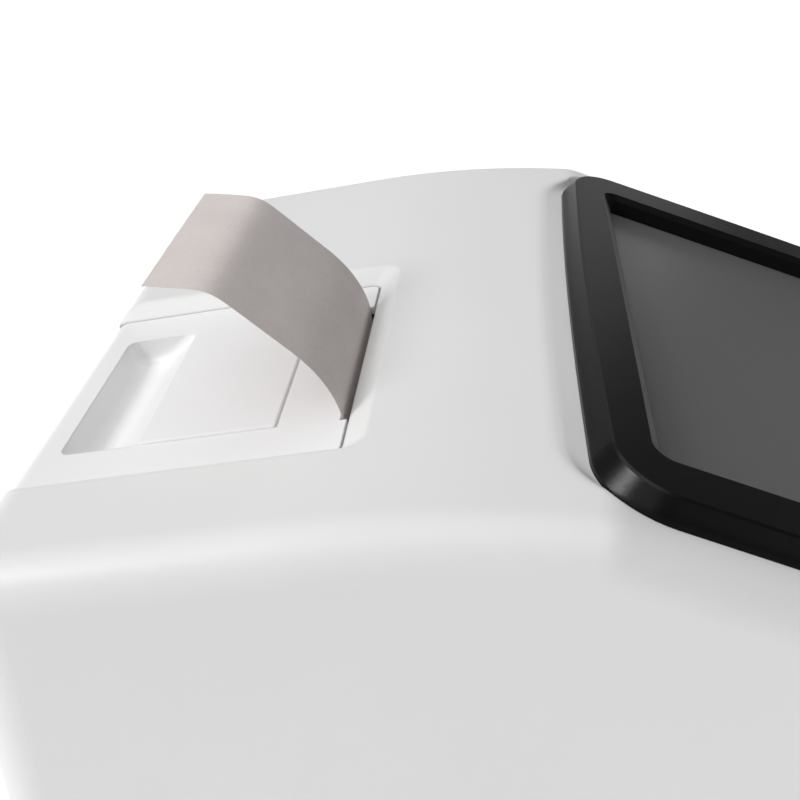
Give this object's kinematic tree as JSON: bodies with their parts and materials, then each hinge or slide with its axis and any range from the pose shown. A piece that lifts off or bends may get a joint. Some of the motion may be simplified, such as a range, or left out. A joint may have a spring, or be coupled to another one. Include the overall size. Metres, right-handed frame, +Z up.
{
  "type": "urine analyzer",
  "caption": "Bench analyzer with a sloping touch display, a sliding printer cover with curled paper, and a motor-driven test strip tray.",
  "frame": {"origin": "on the table, under the middle of the casing", "axes": "+X to the user's right, +Y to the rear with the ports, +Z up; the display and the tray face -Y"},
  "size_m": [0.212, 0.276, 0.1704],
  "materials": {
    "housing": "fine satin",
    "cover": "fine satin",
    "bezel": "semi-gloss black",
    "panel_glass": "clear over a dark display",
    "display": "dark, switched off",
    "foot_rubber": "matt",
    "screw_steel": "zinc plated",
    "sheet_steel": "zinc plated sheet",
    "shaft_steel": "ground",
    "gear_plastic": "natural acetal",
    "dark_plastic": "fine texture",
    "bush_brass": "plain",
    "roller_rubber": "ground",
    "motor_steel": "plain",
    "head_aluminium": "extruded",
    "thermal_paper": "smooth thermal paper",
    "core_card": "plain",
    "tray_plastic": "fine satin",
    "insert_plastic": "fine satin",
    "tile": "matt white",
    "window": "clear",
    "board": "solder mask",
    "port_metal": "nickel plated"
  },
  "bodies": {
    "machine": {"upper_casing": "housing", "lower_casing": "housing", "rubber_feet": "foot_rubber", "casing_screws": "screw_steel", "display_bezel": "bezel", "touch_glass": "panel_glass", "lcd_module": "display", "display_bracket": "sheet_steel", "bezel_screws": "screw_steel", "paper_tub": "dark_plastic", "tub_screws": "screw_steel", "printer_chassis": "sheet_steel", "chassis_screws": "screw_steel", "platen_bushes": "bush_brass", "idler_pin": "shaft_steel", "printer_motor": "motor_steel", "print_head": "head_aluminium", "head_spring": "shaft_steel", "paper_strip": "thermal_paper", "tray_guide": "dark_plastic", "guide_screws": "screw_steel", "shaft_bushes": "bush_brass", "drive_motor": "motor_steel", "motor_bracket": "sheet_steel", "bracket_screws": "screw_steel", "optical_head": "dark_plastic", "sensor_window": "window", "head_screws": "screw_steel", "main_board": "board", "board_screws": "screw_steel", "power_jack": "dark_plastic", "usb_ports": "port_metal", "serial_port": "port_metal", "switch_body": "dark_plastic"},
    "cover": {"printer_cover": "cover"},
    "tray": {"strip_tray": "tray_plastic", "strip_insert": "insert_plastic", "white_reference": "tile"},
    "drive": {"drive_shaft": "shaft_steel", "rack_gear": "gear_plastic", "reduction_gear": "gear_plastic"},
    "motor_pinion": {"drive_pinion": "bush_brass"},
    "platen": {"platen_shaft": "shaft_steel", "platen_roller": "roller_rubber", "platen_gear": "gear_plastic"},
    "idler": {"idler_gear": "gear_plastic"},
    "feed_pinion": {"printer_pinion": "bush_brass"},
    "roll": {"roll_spindle": "gear_plastic", "paper_core": "core_card", "paper_roll": "thermal_paper"},
    "rocker": {"power_rocker": "dark_plastic"}
  },
  "joints": [
    {"name": "cover_slide", "type": "slide", "parent": "machine", "child": "cover", "axis": [0, 0.9796, -0.2011], "range_m": [0, 0.07]},
    {"name": "tray_slide", "type": "slide", "parent": "machine", "child": "tray", "axis": [0, -1, 0], "range_m": [0, 0.085]},
    {"name": "drive_shaft_spin", "type": "hinge", "parent": "machine", "child": "drive", "pos_m": [0.02, -0.077, 0.03305], "axis": [1, 0, 0], "range_deg": [0, 610]},
    {"name": "drive_pinion_spin", "type": "hinge", "parent": "machine", "child": "motor_pinion", "pos_m": [0.0341, -0.0577, 0.03305], "axis": [1, 0, 0], "range_deg": [-1830, 0]},
    {"name": "platen_spin", "type": "hinge", "parent": "machine", "child": "platen", "pos_m": [-0.0255, 0.0656, 0.12601], "axis": [1, 0, 0], "continuous": true},
    {"name": "idler_spin", "type": "hinge", "parent": "machine", "child": "idler", "pos_m": [0.0057, 0.06299, 0.11625], "axis": [1, 0, 0], "continuous": true},
    {"name": "feed_pinion_spin", "type": "hinge", "parent": "machine", "child": "feed_pinion", "pos_m": [0.0078, 0.05617, 0.10813], "axis": [1, 0, 0], "continuous": true},
    {"name": "roll_spin", "type": "hinge", "parent": "machine", "child": "roll", "pos_m": [-0.0255, 0.095, 0.10301], "axis": [1, 0, 0], "continuous": true},
    {"name": "power_rocker_tilt", "type": "hinge", "parent": "machine", "child": "rocker", "pos_m": [0.066, 0.1305, 0.0205], "axis": [1, 0, 0], "range_deg": [0, 20]}
  ],
  "couplings": [
    {"joint": "drive_shaft_spin", "follows": "tray_slide", "rad_per_m": 125},
    {"joint": "drive_pinion_spin", "follows": "tray_slide", "rad_per_m": -375},
    {"joint": "idler_spin", "follows": "platen_spin", "ratio": -2.3333},
    {"joint": "feed_pinion_spin", "follows": "platen_spin", "ratio": 7.4667},
    {"joint": "roll_spin", "follows": "platen_spin", "ratio": 0.2381}
  ]
}
